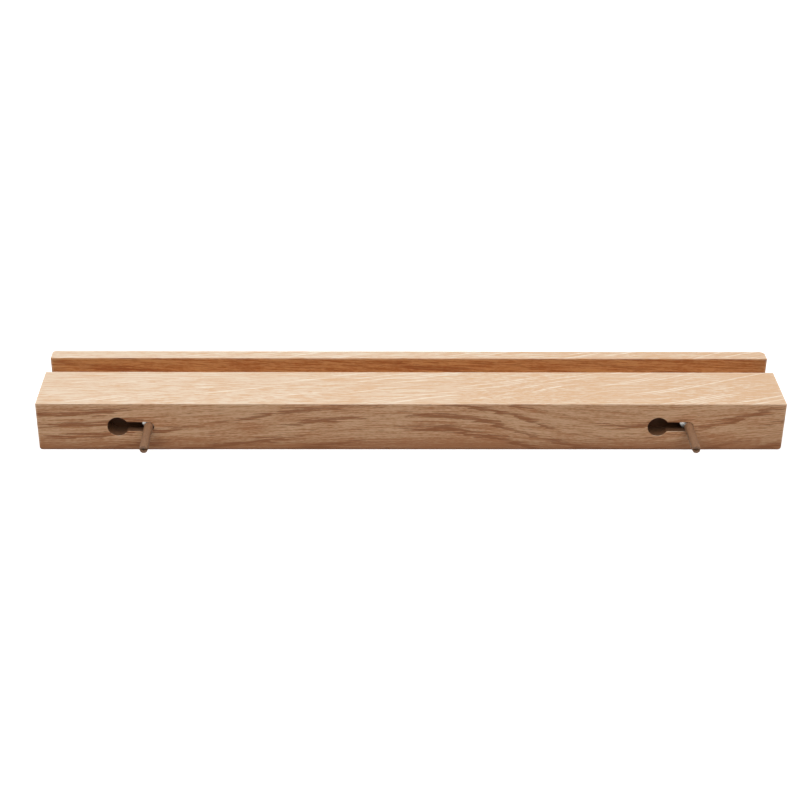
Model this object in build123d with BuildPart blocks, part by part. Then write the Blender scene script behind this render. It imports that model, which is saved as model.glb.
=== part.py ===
from build123d import *
import os

# Wall rail: an oak bar with a groove along its top, hung by two keyholes on two wall screws.
# The origin is the middle of the bar's back face, on the wall. X runs along the bar, +Y points
# into the wall and +Z is up. Left and right are as seen from the room, so left is -X.

# Bar
bar_length = 500.0
bar_height = 35.5
body_depth = 44.0  # from the wall to the groove
groove_width = 20.0
groove_depth = 18.0
lip_thickness = 10.5  # the lip in front of the groove
left_corner_radius = 4.0  # the front's upright corners, rounded by hand
right_corner_radius = 2.5
foot_radius = 2.0  # edges round the underside, except at the wall
edge_ease = 0.5  # every other outside edge
groove_floor_radius = 1.0

# Keyholes, one for each screw
left_screw_x = -185.5
right_screw_x = 176.0
keyhole_travel = 20.5  # from the narrow end to the round entry, towards +X
entry_diameter = 14.0
slot_width = 7.0
neck_depth = 5.0  # thickness of wood that the screw's head hooks behind
channel_depth = 7.0  # space behind it for the head
keyhole_ease = 0.3

# Pan-head wood screws
shank_diameter = 5.0
core_diameter = 4.0
head_diameter = 10.0
head_height = 3.4
head_rim = 0.9  # the upright part of the head's side
crown_radius = 6.25
head_gap = 0.3  # between the head and the wood that it hooks behind
screw_length = 35.0  # under the head
shank_length = 12.0
shank_taper = 0.5
tip_length = 6.0
hanging_gap = 0.2  # between the shank and the top of its slot
recess_span = 4.6
recess_width = 1.1
recess_depth = 2.0
recess_taper = 8.0  # degrees

# Nylon wall plugs
plug_diameter = 6.0
plug_length = 30.0
plug_setback = 0.5  # how far the mouth sits inside the wall
plug_neck = 9.0  # plain length at the mouth
plug_teeth = 7
plug_tooth_depth = 0.45
plug_split = 1.1
plug_end_bore = 1.0

bar_depth = body_depth + groove_width + lip_thickness
half_height = bar_height / 2
groove_floor = half_height - groove_depth
groove_front = body_depth + groove_width
screw_z = slot_width / 2 - shank_diameter / 2 - hanging_gap
head_y = -neck_depth - head_gap
shank_end = head_y + shank_length
tip_y = head_y + screw_length
tip_start = tip_y - tip_length
plug_end = plug_setback + plug_length
teeth_start = plug_setback + plug_neck
tooth_pitch = (plug_end - teeth_start) / plug_teeth

os.makedirs("parts", exist_ok=True)


def save(part, name):
    part.label = name
    export_step(part, f"parts/{name}.step")


# The bar: its section is drawn from the wall forwards and milled along the whole length
with BuildPart() as rail:
    with BuildSketch(Plane.YZ):
        with BuildLine():
            Polyline(
                (0, -half_height),
                (0, half_height),
                (-body_depth, half_height),
                (-body_depth, groove_floor),
                (-groove_front, groove_floor),
                (-groove_front, half_height),
                (-bar_depth, half_height),
                (-bar_depth, -half_height),
                close=True,
            )
        make_face()
    extrude(amount=bar_length / 2, both=True)

    # Edges, eased while the bar is still without keyholes
    fillet(rail.edges().filter_by(Axis.X).group_by(Axis.Z)[1], groove_floor_radius)
    for end, radius in ((0, left_corner_radius), (-1, right_corner_radius)):
        front_corners = rail.edges().filter_by(Axis.Z).group_by(Axis.Y)[0].sort_by(Axis.X)
        fillet(front_corners[end], radius)
    fillet(rail.faces().sort_by(Axis.Z)[0].edges().filter_by(Axis.Y), foot_radius)
    back_edges = rail.faces().sort_by(Axis.Y)[-1].edges()
    top_edges = rail.faces().group_by(Axis.Z)[-1].edges()
    fillet(back_edges + [edge for edge in top_edges if edge not in back_edges], edge_ease)

    # Keyholes: a round entry and a narrow slot through the neck, and a wider channel behind them
    for screw_x in (left_screw_x, right_screw_x):
        entry_x = screw_x + keyhole_travel
        middle_x = screw_x + keyhole_travel / 2
        with BuildSketch(Plane.XZ):
            with Locations((entry_x, 0)):
                Circle(entry_diameter / 2)
            with Locations((middle_x, 0)):
                SlotCenterToCenter(keyhole_travel, slot_width)
        extrude(amount=neck_depth, mode=Mode.SUBTRACT)
        with BuildSketch(Plane.XZ.offset(neck_depth)):
            with Locations((middle_x, 0)):
                SlotCenterToCenter(keyhole_travel, entry_diameter)
        extrude(amount=channel_depth, mode=Mode.SUBTRACT)
    back_face = rail.faces().sort_by(Axis.Y)[-1]
    fillet(back_face.inner_wires().edges(), keyhole_ease)
save(rail.part, "rail")

# The fixings: each screw stands in the narrow end of its keyhole, in a plug in the wall
for side, screw_x in (("left", left_screw_x), ("right", right_screw_x)):
    axis_plane = Plane(origin=(screw_x, 0, screw_z), x_dir=(1, 0, 0), z_dir=(0, 0, 1))
    screw_axis = Axis((screw_x, 0, screw_z), (0, 1, 0))
    head_top = Plane(origin=(screw_x, head_y - head_height, screw_z), x_dir=(1, 0, 0), z_dir=(0, 1, 0))

    with BuildPart() as wall_screw:
        with BuildSketch(axis_plane):
            with BuildLine():
                head_edge = Line((head_diameter / 2, head_y), (head_diameter / 2, head_y - head_rim))
                crown = RadiusArc(head_edge @ 1, (0, head_y - head_height), crown_radius)
                Polyline(
                    crown @ 1,
                    (0, tip_y),
                    (core_diameter / 2, tip_start),
                    (core_diameter / 2, shank_end),
                    (shank_diameter / 2, shank_end - shank_taper),
                    (shank_diameter / 2, head_y),
                    head_edge @ 0,
                )
            make_face()
        revolve(axis=screw_axis)
        with BuildSketch(head_top):
            Rectangle(recess_span, recess_width)
            Rectangle(recess_width, recess_span)
        extrude(amount=recess_depth, taper=recess_taper, mode=Mode.SUBTRACT)
    save(wall_screw.part, f"wall_screw_{side}")

    # The plug: plain at its mouth, then teeth that slope towards its closed-up, split end
    outside = [(plug_diameter / 2, plug_setback), (plug_diameter / 2, teeth_start)]
    for tooth in range(plug_teeth):
        tooth_end = teeth_start + (tooth + 1) * tooth_pitch
        outside.append((plug_diameter / 2 - plug_tooth_depth, tooth_end))
        if tooth + 1 < plug_teeth:
            outside.append((plug_diameter / 2, tooth_end))
    with BuildPart() as wall_plug:
        with BuildSketch(axis_plane):
            with BuildLine():
                Polyline(
                    *outside,
                    (plug_end_bore, plug_end),
                    (core_diameter / 2, tip_start),
                    (core_diameter / 2, shank_end),
                    (shank_diameter / 2, shank_end - shank_taper),
                    (shank_diameter / 2, plug_setback),
                    close=True,
                )
            make_face()
        revolve(axis=screw_axis)
        with BuildSketch(Plane(origin=(screw_x, teeth_start, screw_z), x_dir=(1, 0, 0), z_dir=(0, 1, 0))):
            Rectangle(plug_diameter, plug_split)
        extrude(amount=plug_length, mode=Mode.SUBTRACT)
    save(wall_plug.part, f"wall_plug_{side}")
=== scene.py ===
import math
from types import SimpleNamespace

import bpy
from mathutils import Matrix, Vector


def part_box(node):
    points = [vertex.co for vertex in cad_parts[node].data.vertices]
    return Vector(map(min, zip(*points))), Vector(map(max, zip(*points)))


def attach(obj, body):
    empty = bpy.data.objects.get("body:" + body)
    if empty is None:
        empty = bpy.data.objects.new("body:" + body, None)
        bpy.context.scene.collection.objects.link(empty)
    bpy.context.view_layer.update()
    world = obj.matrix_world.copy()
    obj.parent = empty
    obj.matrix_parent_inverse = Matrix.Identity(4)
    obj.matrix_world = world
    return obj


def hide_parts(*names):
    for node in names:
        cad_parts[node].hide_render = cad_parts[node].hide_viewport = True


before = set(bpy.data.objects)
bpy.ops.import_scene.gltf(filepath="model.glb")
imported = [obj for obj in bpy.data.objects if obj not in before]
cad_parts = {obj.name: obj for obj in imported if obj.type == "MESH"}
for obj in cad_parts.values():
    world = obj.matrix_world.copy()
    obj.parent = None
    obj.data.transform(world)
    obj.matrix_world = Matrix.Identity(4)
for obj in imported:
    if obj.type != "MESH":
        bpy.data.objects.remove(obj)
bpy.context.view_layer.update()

MM = 0.001

# View, in metres
CAMERA_AZIMUTH = math.radians(181.49)   # 0 looks along +Y, 180 looks at the rail's back
CAMERA_ELEVATION = math.radians(29.76)
CAMERA_ROLL = math.radians(0.79)
CAMERA_DISTANCE = 1.147
CAMERA_LENS = 75.0                      # in millimetres, on a 36 mm sensor
AIM_OFFSET = Vector((7.7, 0.9, 0.0)) * MM   # from the middle of the rail

# Studio, in metres: the floor glows more away from its middle, and the surround more towards the top
FLOOR_SIDE = 12.0
GLOW_START = 0.7
GLOW_END = 2.4
FLOOR_GLOW_NEAR = 0.42
FLOOR_GLOW_FAR = 1.0
SKY_LOW = 0.04
SKY_HIGH = 0.35

# The rail's groove and keyholes, in millimetres from its back face, mid-height and middle
GROOVE_BACK = 44.0
GROOVE_FRONT = 64.0
GROOVE_FLOOR = -0.25
KEYHOLE_DEPTH = 12.0
KEYHOLE_RADIUS = 7.0
KEYHOLE_SPAN = 215.0    # both keyholes lie within this distance of the middle

# The oak's growth rings, in millimetres
RING_DEPTH = 2.4        # from ring to ring through the rail's depth
RING_HEIGHT = 9.6       # and up its front and back, which cut the rings at a low angle
RING_SHIFT = 0.13       # moves them all by this part of a ring
CREST_X = -10.0         # where the grain behind is highest
LEFT_SWEEP = 135.0      # from the crest to the lowest grain on its left, and on its right
RIGHT_SWEEP = 270.0
SWEEP_RISE = 14.0       # half of the height between them
FINE_SWEEP = 0.35       # the part of that which the fine marks follow
FRONT_SLANT = 0.13      # rise per millimetre along the front
SWEEP_START = 60.0      # from this far in front of the back, straight grain turns into swept grain
SWEEP_END = 15.0        # until this far in front of it

# Its ray flecks, in millimetres
RAY_SPACING = 2.3
RAY_SLANT = 0.25        # millimetres across the top per millimetre along it
RAY_CURVE = 0.00018     # how the slant changes along the rail
RAY_BEND = 9.0
RAY_LANE_STEP = 5.37    # how far apart neighbouring lanes read their noise

# Its colours, as linear red, green and blue
FLAT_LIGHT = (0.83, 0.505, 0.29)
FLAT_DARK = (0.56, 0.24, 0.103)
STRAND_COLOUR = (0.50, 0.20, 0.080)
PORE_COLOUR = (0.34, 0.12, 0.044)
# Painted shade towards the underside of the front and back
FOOT_SHADE_COLOUR = (0.30, 0.115, 0.045)
# Paler and greyer than the flat-sawn colours: quarter-sawn oak, and partly a painted sheen on the top
QUARTER_LIGHT = (0.78, 0.62, 0.465)
QUARTER_DARK = (0.69, 0.44, 0.26)
RAY_COLOUR = (0.92, 0.83, 0.70)
END_LIGHT = (0.56, 0.34, 0.185)
END_DARK = (0.27, 0.125, 0.055)
# Painted shade in the groove, darker and warmer
GROOVE_SHADE_TINT = (0.75, 0.59, 0.375)
# Painted shade inside the keyholes
KEYHOLE_SHADE_COLOUR = (0.13, 0.052, 0.019)
# Painted shadow along the back's bottom edge
EDGE_SHADOW_COLOUR = (0.14, 0.058, 0.026)
# Pale edges: wear and a painted highlight
WORN_AND_HIGHLIT_COLOUR = (0.86, 0.68, 0.50)

# Its surface, in millimetres
RELIEF = 0.1            # depth of the grain's bumps
FOOT_SHADE_HEIGHT = 14.0      # painted shade darkens the front and back below this height
EDGE_SHADOW_HEIGHT = 1.8       # a line of painted shadow lies along the back's bottom edge
EDGE_SHADOW_DEPTH = 4.0
WORN_AND_HIGHLIT_WIDTH = 1.6        # how far from an edge the wood is worn and painted with a highlight

# The fixings' colours
ZINC_COLOUR = (0.62, 0.62, 0.60)
NYLON_COLOUR = (0.26, 0.135, 0.07)

# The wall screws, in millimetres; lengths are measured from the top of the head
SCREW_LENGTH = 38.4
HEAD_RADIUS = 5.0
CROWN_HEIGHT = 2.5
CROWN_RINGS = (2.6, 3.4, 4.1, 4.7, HEAD_RADIUS)
HEAD_HEIGHT = 3.4
RECESS_DEPTH = 2.0
RECESS_WAIST = 0.8      # from the middle to the notch between two arms of the cross
RECESS_ARM = 1.4        # from there to the end of an arm
RECESS_TAPER = 0.55     # the floor's outline as a part of the mouth's
RECESS_SHOULDER = 0.85  # its depth at that outline as a part of the full depth
SHANK_RADIUS = 2.5
SHANK_END = 15.4
SHANK_TAPER = 0.5
THREAD_ROOT = 1.75
THREAD_HEIGHT = 0.65
THREAD_PITCH = 2.5
THREAD_START = 1.25     # length over which it grows to its full height
THREAD_HOLD = 1.3       # towards the tip it starts to shrink later than its root, by this factor
CREST_HALF_WIDTH = 0.1
ROOT_HALF_WIDTH = 0.62
TIP_LENGTH = 6.0
SHARP_ANGLE = math.radians(35)

# The fineness of their mesh
RING_POINTS = 40
THREAD_STEP = 0.125


def feed(socket, value):
    """Gives a node's input a wire, a colour or a plain number."""
    if isinstance(value, Wire):
        value.tree.links.new(value.socket, socket)
    elif isinstance(value, tuple) and len(value) == 3 and socket.type == "RGBA":
        socket.default_value = (*value, 1.0)
    else:
        socket.default_value = value


class Wire:
    """Something that varies over a surface. Arithmetic on wires adds nodes to their material."""

    def __init__(self, tree, socket):
        self.tree = tree
        self.socket = socket

    def node(self, kind, inputs, output=0, **settings):
        made = self.tree.nodes.new(kind)
        for name, value in settings.items():
            setattr(made, name, value)
        for key, value in inputs.items():
            feed(made.inputs[key], value)
        return Wire(self.tree, made.outputs[output])

    def compute(self, operation, *values, clamp=False):
        """A Math node's result from these values, or from this wire alone if there are none."""
        inputs = dict(enumerate(values or (self,)))
        return self.node("ShaderNodeMath", inputs, operation=operation, use_clamp=clamp)

    def __add__(self, other):
        return self.compute("ADD", self, other)

    def __sub__(self, other):
        return self.compute("SUBTRACT", self, other)

    def __rsub__(self, other):
        return self.compute("SUBTRACT", other, self)

    def __mul__(self, other):
        return self.compute("MULTIPLY", self, other)

    def __truediv__(self, other):
        return self.compute("DIVIDE", self, other)

    def at_least(self, other):
        return self.compute("MAXIMUM", self, other)

    def at_most(self, other):
        return self.compute("MINIMUM", self, other)

    def absolute(self):
        return self.compute("ABSOLUTE")

    def clamped(self):
        """Kept between 0 and 1."""
        return self.compute("ADD", self, 0.0, clamp=True)

    def rise(self, start, end, low=0.0, high=1.0):
        """Goes smoothly from low to high as this goes from start to end."""
        inputs = {"Value": self, "From Min": start, "From Max": end, "To Min": low, "To Max": high}
        return self.node("ShaderNodeMapRange", inputs, interpolation_type="SMOOTHSTEP")

    def blend(self, first, second, mode="MIX"):
        """first where this is 0. Where it is 1, second, or with MULTIPLY the product of the two."""
        inputs = {0: self, 6: first, 7: second}
        return self.node("ShaderNodeMix", inputs, output=2, data_type="RGBA", blend_type=mode)

    def split(self):
        made = self.tree.nodes.new("ShaderNodeSeparateXYZ")
        feed(made.inputs[0], self)
        return [Wire(self.tree, output) for output in made.outputs]


def coordinates(tree, kind):
    """The three parts of one of a surface's texture coordinates."""
    return Wire(tree, tree.nodes.new("ShaderNodeTexCoord").outputs[kind]).split()


def noise(place, per_unit, detail=2.0, roughness=0.5):
    """Even noise from 0 to 1. place is three wires or numbers, of which the first has to be a wire, and
    per_unit is how many grains of noise lie in one unit of each, so in a millimetre of x, y or z."""
    parts = [part * count for part, count in zip(place, per_unit)]
    where = parts[0].node("ShaderNodeCombineXYZ", dict(enumerate(parts)))
    inputs = {"Vector": where, "Scale": 1.0, "Detail": detail, "Roughness": roughness}
    return where.node("ShaderNodeTexNoise", inputs, noise_dimensions="3D")


def new_material(name):
    """A material, its shader, and wires for the place, in millimetres, and for how squarely the surface
    faces along each axis."""
    material = bpy.data.materials.new(name)
    material.use_nodes = True
    tree = material.node_tree
    place = [part / MM for part in coordinates(tree, "Object")]
    facing = [part.absolute() for part in coordinates(tree, "Normal")]
    return material, tree.nodes["Principled BSDF"], place, facing


def grain_sweep(x, y):
    """How high the grain has climbed. Behind, it rises along the rail to a crest and falls again twice
    as fast; towards the front it runs straight at a slant."""
    past_crest = x - CREST_X
    swing = past_crest.at_least(0.0) / RIGHT_SWEEP + past_crest.at_most(0.0) / LEFT_SWEEP
    arched = (swing * math.pi).compute("COSINE") * SWEEP_RISE
    behind = y.rise(-SWEEP_START, -SWEEP_END)
    return arched * behind + x * FRONT_SLANT * (1.0 - behind)


def early_wood(x, y, z, sweep):
    """1 in the early wood of a strong growth ring, less in a weak one, and 0 in late wood."""
    wander = noise((x, y, z), (0.010, 0.03, 0.05)) * 0.8
    ragged = noise((x, y, z), (0.040, 0.25, 0.65)) * 0.9
    rings = (z - sweep) / RING_HEIGHT + y / RING_DEPTH + wander + ragged - RING_SHIFT
    age = rings.compute("FRACT")
    early = age.rise(0.0, 0.10) * age.rise(0.15, 0.65, 1.0, 0.0)
    strength = noise((rings.compute("FLOOR"), 0.0, x), (0.83, 0.0, 0.012), detail=0.0)
    return early * strength.rise(0.36, 0.60, 0.15, 1.0)


def grain_marks(x, y, z):
    """The marks that run along the grain, each as a wire from 0 to 1."""
    sweep = grain_sweep(x, y)
    early = early_wood(x, y, z, sweep)
    place = (x, y, z - sweep * FINE_SWEEP)
    dashes = noise(place, (0.065, 0.62, 1.20), detail=3.0, roughness=0.65)
    threads = noise(place, (0.032, 1.30, 1.50), roughness=0.6)
    return SimpleNamespace(
        early=early,
        # Short dark dashes, thickest in the early wood
        pores=(dashes + early * 0.24).rise(0.62, 0.68),
        # Long lines: soft ones, fine ones, and the darkest of the fine ones
        streaks=noise(place, (0.030, 0.90, 0.85), detail=3.0, roughness=0.75),
        threads=threads,
        strands=(threads + early * 0.22).rise(0.60, 0.67),
        # Short fine marks a few millimetres long, and broad soft changes
        fibres=noise(place, (0.28, 0.85, 1.45), detail=1.0),
        patches=noise(place, (0.013, 0.06, 0.10)),
    )


def ray_flecks(x, y, z):
    """1 on the thin pale streaks that cross the grain at a slant, one to a lane, and 0 between them."""
    bend = noise((x, y, z), (0.018, 0.03, 0.02), detail=0.0) * RAY_BEND
    lanes = (y - x * RAY_SLANT + x * x * RAY_CURVE + bend) / RAY_SPACING
    lane = lanes.compute("FLOOR")

    # Half of a fleck's width and the distance from its middle are parts of its lane
    chance = noise((lane, x, z), (RAY_LANE_STEP, 0.020, 0.08), detail=0.0)
    half_width = chance.rise(0.50, 0.80, 0.0, 0.36)
    off_middle = (lanes - lane - 0.5).absolute()
    flecks = (half_width - off_middle).rise(0.0, 0.12)
    return flecks * noise((x, y, z), (0.08, 0.4, 0.4)).rise(0.35, 0.6, 0.45, 1.0)


def flat_sawn(z, marks, groove, foot):
    """The front, the back and the groove's walls. Painted shade darkens them towards the foot, and the
    fine marks are fainter in the groove."""
    shade = marks.streaks.rise(0.36, 0.64, 0.02, 0.40) + marks.threads.rise(0.41, 0.59, -0.30, 0.52)
    shade = shade + marks.patches.rise(0.35, 0.65, -0.2, 0.25)
    shade = shade + marks.fibres.rise(0.35, 0.65, -0.30, 0.30)
    # Painted shade: the front and back darken towards the underside
    shade = shade + z.rise(foot, foot + FOOT_SHADE_HEIGHT, 0.80, 0.0) + marks.early * 0.20
    colour = shade.clamped().blend(FLAT_LIGHT, FLAT_DARK)
    clear = 1.0 - groove * 0.5
    colour = (marks.strands * 0.65 * clear).blend(colour, STRAND_COLOUR)
    colour = (marks.pores * 0.75 * clear).blend(colour, PORE_COLOUR)
    # Painted shade: near the underside the colour fades to a dark brown
    return z.rise(foot + 1.0, foot + FOOT_SHADE_HEIGHT - 2.0, 0.45, 0.0).blend(colour, FOOT_SHADE_COLOUR)


def quarter_sawn(x, y, z, marks):
    """The top, the groove's floor and the underside: pale, partly as painted sheen, with ray flecks,
    darker towards the left and palest on the lip."""
    shade = marks.streaks.rise(0.38, 0.62, -0.02, 0.45) + marks.threads.rise(0.41, 0.59, -0.38, 0.85)
    shade = shade + marks.patches.rise(0.35, 0.65, -0.06, 0.10) + marks.early * 0.15
    shade = shade + marks.pores * 0.3 + marks.fibres.rise(0.35, 0.65, -0.22, 0.26)
    shade = shade + x.rise(260.0, -260.0, -0.28, 0.48)
    shade = shade + y.rise(-GROOVE_FRONT, -GROOVE_FRONT + 4.0, -0.12, 0.0)
    colour = shade.clamped().blend(QUARTER_LIGHT, QUARTER_DARK)
    return (ray_flecks(x, y, z) * 0.65).blend(colour, RAY_COLOUR)


def end_grain(x, y, z, marks):
    """The ends: growth rings edge on, and the open pores as dots."""
    dots = noise((x, y, z), (0.4, 2.2, 2.2))
    shade = marks.early * 0.6 + (dots + marks.early * 0.1).rise(0.5, 0.66, 0.0, 0.45)
    return shade.clamped().blend(END_LIGHT, END_DARK)


def groove_shade(y, z, face_x, face_z):
    """1 on the groove's floor and on its front wall, which get painted shade, and 0 elsewhere."""
    between_walls = y.rise(-GROOVE_BACK - 0.6, -GROOVE_BACK - 0.1, 1.0, 0.0)
    between_walls = between_walls * y.rise(-GROOVE_FRONT - 0.3, -GROOVE_FRONT)
    off_top = 1.0 - face_z.rise(0.5, 0.9) * z.rise(8.0, 12.0)
    above_floor = z.rise(GROOVE_FLOOR - 0.55, GROOVE_FLOOR - 0.15)
    off_ends = face_x.rise(0.5, 0.9, 1.0, 0.0)
    return between_walls * off_top * above_floor * off_ends


def keyhole_shade(x, y, z):
    """1 inside the keyholes, which get painted shade, and 0 on the rail's outside."""
    in_depth = y.rise(-0.45, -0.05, 1.0, 0.0) * y.rise(-KEYHOLE_DEPTH - 1.0, -KEYHOLE_DEPTH - 0.2)
    in_height = z.absolute().rise(KEYHOLE_RADIUS + 0.3, KEYHOLE_RADIUS + 1.0, 1.0, 0.0)
    in_length = x.absolute().rise(KEYHOLE_SPAN, KEYHOLE_SPAN + 5.0, 1.0, 0.0)
    return in_depth * in_height * in_length


def worn_and_highlit_edges(x, y, z, low, high):
    """1 along the edges, which are worn and carry a painted highlight, 0 on the open faces and along the
    foot.
    """
    # The groove's walls end at its floor, so below it they are put out of reach
    from_groove = (y + GROOVE_BACK).absolute().at_most((y + GROOVE_FRONT).absolute())
    from_groove = from_groove + z.rise(0.0, -5.0, 0.0, 50.0)
    from_upright = (high.y - y).at_most(y - low.y).at_most(from_groove)
    from_end = high.x - x.absolute()
    from_level = high.z - z.absolute()

    # The nearest edge is as far away as the second nearest kind of face
    from_edge = from_end.at_least(from_upright).at_most(from_level)
    from_edge = from_end.at_most(from_upright).at_least(from_edge)
    patchy = noise((x, y, z), (0.08, 0.3, 0.3)).rise(0.3, 0.6, 0.2, 1.0)
    return from_edge.rise(0.3, WORN_AND_HIGHLIT_WIDTH, 1.0, 0.0) * patchy * z.rise(low.z + 2.0, low.z + 6.0)


def oak(low, high):
    """Oak cut with its growth rings upright along the rail: the top and underside are quarter-sawn,
    pale with ray flecks and partly with painted sheen, and the front and back are flat-sawn, darker
    and figured. low and high are the rail's corners in millimetres."""
    material, shader, (x, y, z), (face_x, _, face_z) = new_material("oak")
    marks = grain_marks(x, y, z)
    groove = groove_shade(y, z, face_x, face_z)
    worn_and_highlit = worn_and_highlit_edges(x, y, z, low, high)
    # Painted shadow along the back's bottom edge
    edge_shadow = z.rise(low.z + 0.3, low.z + EDGE_SHADOW_HEIGHT, 0.75, 0.0) * y.rise(-EDGE_SHADOW_DEPTH, -1.0)

    flat = flat_sawn(z, marks, groove, low.z)
    # The top's paler, greyer colour is partly painted sheen
    colour = face_z.rise(0.45, 0.9).blend(flat, quarter_sawn(x, y, z, marks))
    colour = face_x.rise(0.45, 0.9).blend(colour, end_grain(x, y, z, marks))
    # Painted shade in the groove, darker and warmer
    colour = groove.blend(colour, GROOVE_SHADE_TINT, mode="MULTIPLY")
    # Painted shade inside the keyholes
    colour = (keyhole_shade(x, y, z) * 0.95).blend(colour, KEYHOLE_SHADE_COLOUR)
    # Painted shadow along the back's bottom edge
    colour = edge_shadow.blend(colour, EDGE_SHADOW_COLOUR)
    # Pale edges: wear and a painted highlight
    colour = (worn_and_highlit * 0.35).blend(colour, WORN_AND_HIGHLIT_COLOUR)
    feed(shader.inputs["Base Color"], colour)

    dullness = marks.early * 0.5 + marks.streaks - worn_and_highlit * 0.3
    feed(shader.inputs["Roughness"], dullness.rise(0.2, 1.0, 0.50, 0.68))
    shader.inputs["Specular IOR Level"].default_value = 0.4
    height = marks.streaks * 0.4 + marks.fibres * 0.3 - marks.pores * 0.7
    bump = {"Strength": 0.4, "Distance": RELIEF * MM, "Height": height}
    feed(shader.inputs["Normal"], height.node("ShaderNodeBump", bump))
    return material


def plain(name, colour, roughness, metallic=0.0):
    """A finish with fine handling marks in its colour and roughness."""
    material, shader, place, _ = new_material(name)
    marks = noise(place, (0.9, 0.3, 0.9), detail=4.0)
    darker = tuple(part * 0.82 for part in colour)
    feed(shader.inputs["Base Color"], marks.rise(0.35, 0.7).blend(colour, darker))
    feed(shader.inputs["Roughness"], marks.rise(0.3, 0.7, roughness - 0.08, roughness + 0.1))
    shader.inputs["Metallic"].default_value = metallic
    return material


def give(node, material):
    """Puts a material on a CAD node."""
    for material_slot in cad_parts[node].material_slots:
        material_slot.material = material


def crown_drop(radius):
    """How far the round crown has dropped from its top at a radius."""
    sphere = (HEAD_RADIUS ** 2 + CROWN_HEIGHT ** 2) / (2 * CROWN_HEIGHT)
    return sphere - math.sqrt(sphere ** 2 - radius ** 2)


def thread_radius(along, turn):
    """The threaded part's radius at a distance from the head's top and a part of a turn."""
    tip_share = (SCREW_LENGTH - along) / TIP_LENGTH
    root = THREAD_ROOT * min(1.0, tip_share)
    height = THREAD_HEIGHT * min(1.0, tip_share * THREAD_HOLD, (along - SHANK_END) / THREAD_START)
    turns = along / THREAD_PITCH - turn
    off_crest = abs(turns - round(turns)) * THREAD_PITCH
    flank = (ROOT_HALF_WIDTH - off_crest) / (ROOT_HALF_WIDTH - CREST_HALF_WIDTH)
    return root + height * max(0.0, min(1.0, flank))


def screw_rings(turns):
    """The screw's surface from its recess to its tip: each ring holds a radius and a distance from the
    head's top for each of the turns, which are parts of a full one."""
    lobes = [RECESS_WAIST + RECESS_ARM * math.cos(4 * math.pi * turn) ** 4 for turn in turns]
    rings = [[(lobe * RECESS_TAPER, RECESS_DEPTH * RECESS_SHOULDER) for lobe in lobes]]
    rings.append([(lobe, crown_drop(lobe)) for lobe in lobes])

    profile = [(radius, crown_drop(radius)) for radius in CROWN_RINGS]
    profile.append((HEAD_RADIUS, HEAD_HEIGHT))
    profile.append((SHANK_RADIUS, HEAD_HEIGHT))
    profile.append((SHANK_RADIUS, SHANK_END - SHANK_TAPER))
    rings += [[corner] * len(turns) for corner in profile]

    for step in range(int((SCREW_LENGTH - SHANK_END) / THREAD_STEP)):
        along = SHANK_END + step * THREAD_STEP
        rings.append([(thread_radius(along, turn), along) for turn in turns])
    return rings


def skin(ring_count):
    """Faces over rings of points that come after one point in the recess and before one at the tip."""
    last = 1 + (ring_count - 1) * RING_POINTS
    tip = 1 + ring_count * RING_POINTS
    faces = []
    for step in range(RING_POINTS):
        beside = (step + 1) % RING_POINTS
        faces.append((0, 1 + beside, 1 + step))
        for here in range(1, last, RING_POINTS):
            beyond = here + RING_POINTS
            faces.append((here + step, here + beside, beyond + beside, beyond + step))
        faces.append((last + step, last + beside, tip))
    return faces


def screw(name, low, high):
    """A pan-head wood screw with a cross recess and a right-hand thread, its head towards -Y."""
    turns = [step / RING_POINTS for step in range(RING_POINTS)]
    rings = screw_rings(turns)
    points = [(0.0, RECESS_DEPTH, 0.0)]
    for ring in rings:
        for turn, (radius, along) in zip(turns, ring):
            angle = 2 * math.pi * turn
            points.append((radius * math.sin(angle), along, radius * math.cos(angle)))
    points.append((0.0, SCREW_LENGTH, 0.0))

    head_top = Vector(((low.x + high.x) / 2, high.y - SCREW_LENGTH * MM, (low.z + high.z) / 2))
    mesh = bpy.data.meshes.new(name)
    mesh.from_pydata([Vector(point) * MM + head_top for point in points], [], skin(len(rings)))
    mesh.validate()
    mesh.shade_smooth()
    mesh.set_sharp_from_angle(angle=SHARP_ANGLE)
    made = bpy.data.objects.new(name, mesh)
    bpy.context.scene.collection.objects.link(made)
    return made


def glowing_floor(height):
    """A pale floor that throws no diffuse light on the rail."""
    bpy.ops.mesh.primitive_plane_add(size=FLOOR_SIDE, location=(0, 0, height))
    floor = bpy.context.object
    floor.name = "floor"
    floor.visible_diffuse = False
    material = bpy.data.materials.new("floor")
    material.use_nodes = True
    tree = material.node_tree
    shader = tree.nodes["Principled BSDF"]
    shader.inputs["Base Color"].default_value = (0.95, 0.95, 0.95, 1)
    shader.inputs["Roughness"].default_value = 0.9
    shader.inputs["Emission Color"].default_value = (1, 1, 1, 1)
    x, y, _ = coordinates(tree, "Object")
    away = (x * x + y * y).compute("SQRT")
    glow = away.rise(GLOW_START, GLOW_END, FLOOR_GLOW_NEAR, FLOOR_GLOW_FAR)
    feed(shader.inputs["Emission Strength"], glow)
    floor.data.materials.append(material)


def soft_light(name, place, sides, watts):
    """A wide lamp that faces the origin."""
    lamp = bpy.data.lights.new(name, "AREA")
    lamp.shape = "RECTANGLE"
    lamp.size, lamp.size_y = sides
    lamp.energy = watts
    light = bpy.data.objects.new(name, lamp)
    light.location = place
    light.rotation_euler = (-Vector(place)).to_track_quat("-Z", "Y").to_euler()
    light.visible_camera = False
    bpy.context.scene.collection.objects.link(light)


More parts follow.
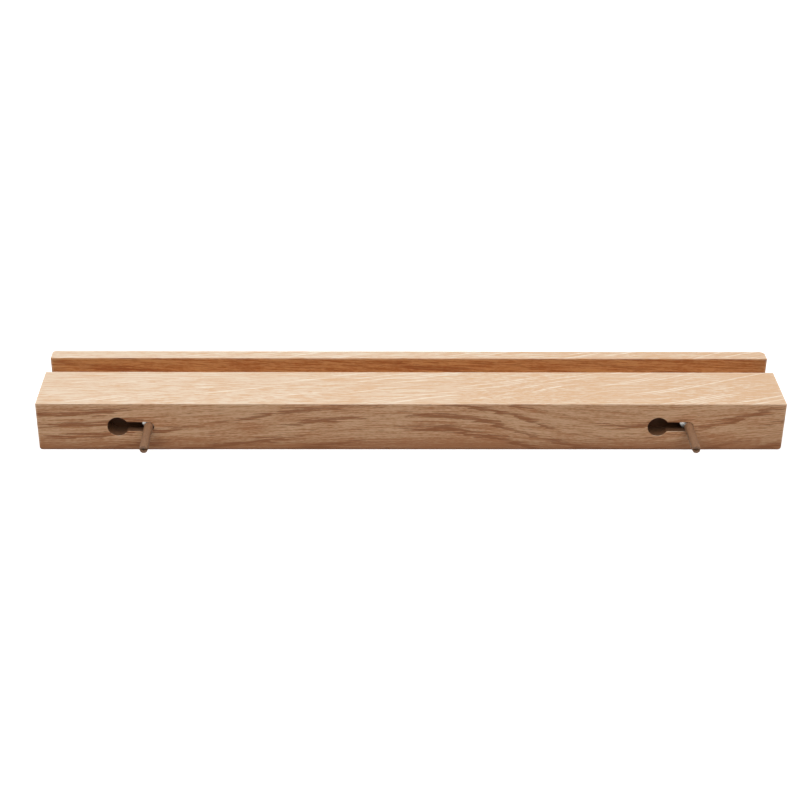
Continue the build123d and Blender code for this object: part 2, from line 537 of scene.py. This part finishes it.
def surround():
    """White where the camera sees it, and a weak light from above for everything else."""
    world = bpy.data.worlds.new("surround")
    bpy.context.scene.world = world
    world.use_nodes = True
    tree = world.node_tree
    backdrop = tree.nodes["Background"]
    _, _, up = coordinates(tree, "Generated")
    seen = Wire(tree, tree.nodes.new("ShaderNodeLightPath").outputs["Is Camera Ray"])
    feed(backdrop.inputs["Strength"], seen.at_least(up.rise(-0.1, 0.6, SKY_LOW, SKY_HIGH)))
    backdrop.inputs["Color"].default_value = (1, 1, 1, 1)


def camera(aim):
    """The camera, set back from the point that it aims at."""
    direction = Vector((
        math.sin(CAMERA_AZIMUTH) * math.cos(CAMERA_ELEVATION),
        math.cos(CAMERA_AZIMUTH) * math.cos(CAMERA_ELEVATION),
        -math.sin(CAMERA_ELEVATION),
    ))
    data = bpy.data.cameras.new("camera")
    data.lens = CAMERA_LENS
    data.clip_start = 0.01
    made = bpy.data.objects.new("camera", data)
    turn = direction.to_track_quat("-Z", "Y").to_matrix().to_4x4() @ Matrix.Rotation(CAMERA_ROLL, 4, "Z")
    made.matrix_world = Matrix.Translation(aim - direction * CAMERA_DISTANCE) @ turn
    bpy.context.scene.collection.objects.link(made)
    bpy.context.scene.camera = made


rail_low, rail_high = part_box("rail")
give("rail", oak(rail_low / MM, rail_high / MM))
zinc = plain("zinc", ZINC_COLOUR, 0.3, metallic=1.0)
nylon = plain("nylon", NYLON_COLOUR, 0.45)
for side in ("left", "right"):
    threaded = screw(f"threaded_screw_{side}", *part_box(f"wall_screw_{side}"))
    threaded.data.materials.append(zinc)
    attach(threaded, "wall_fixings")
    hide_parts(f"wall_screw_{side}")
    give(f"wall_plug_{side}", nylon)

bpy.context.scene.view_settings.view_transform = "Standard"
glowing_floor(rail_low.z)
soft_light("overhead", (0.06, 0.50, 1.2), (1.8, 1.4), 18.7)
soft_light("front_fill", (0.0, -1.6, 0.2), (2.0, 0.3), 9.0)
soft_light("left_fill", (-1.6, -0.2, 0.2), (0.8, 0.3), 8.0)
soft_light("right_fill", (1.6, -0.2, 0.2), (0.8, 0.3), 8.0)
surround()
camera((rail_low + rail_high) / 2 + AIM_OFFSET)
